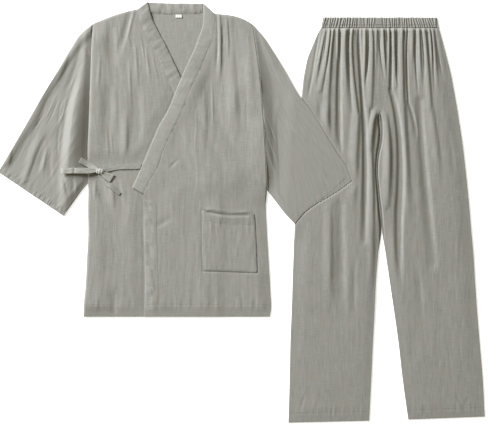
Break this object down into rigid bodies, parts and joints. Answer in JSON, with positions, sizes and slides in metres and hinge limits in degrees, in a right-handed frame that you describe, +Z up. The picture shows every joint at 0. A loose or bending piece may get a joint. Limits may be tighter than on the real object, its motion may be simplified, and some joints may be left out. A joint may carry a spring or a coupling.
{
  "type": "kimono pajama set",
  "caption": "Wrap-front kimono pajama jacket tied at the side with a bow, laid flat beside matching elastic-waist trousers.",
  "frame": {"origin": "middle of the laid-out set, at the surface that it lies on", "axes": "+X to the viewer's right, from the jacket to the trousers; +Y towards the necks and waist; +Z up from the surface"},
  "size_m": [1.1668, 1.009, 0.0135],
  "materials": {
    "jacket_cloth": "matt slub weave, grey-green",
    "tie_cloth": "matt slub weave, grey-green, folded into tape",
    "trousers_cloth": "matt slub weave, grey-green",
    "label_cloth": "smooth white tape, bare"
  },
  "bodies": {
    "root": {"jacket_back": "jacket_cloth", "jacket_front_right": "jacket_cloth", "jacket_front_left": "jacket_cloth", "sleeve_right": "jacket_cloth", "sleeve_left": "jacket_cloth", "collar_right": "jacket_cloth", "collar_back": "jacket_cloth", "collar_left": "jacket_cloth", "pocket": "jacket_cloth", "neck_label": "label_cloth", "tie_front": "tie_cloth", "tie_side": "tie_cloth", "bow_knot": "tie_cloth", "bow_loop_left": "tie_cloth", "bow_loop_right": "tie_cloth", "bow_end_up": "tie_cloth", "bow_end_down": "tie_cloth", "trousers_front_right": "trousers_cloth", "trousers_front_left": "trousers_cloth", "trousers_back_right": "trousers_cloth", "trousers_back_left": "trousers_cloth", "waistband_front": "trousers_cloth", "waistband_back": "trousers_cloth"}
  },
  "joints": []
}
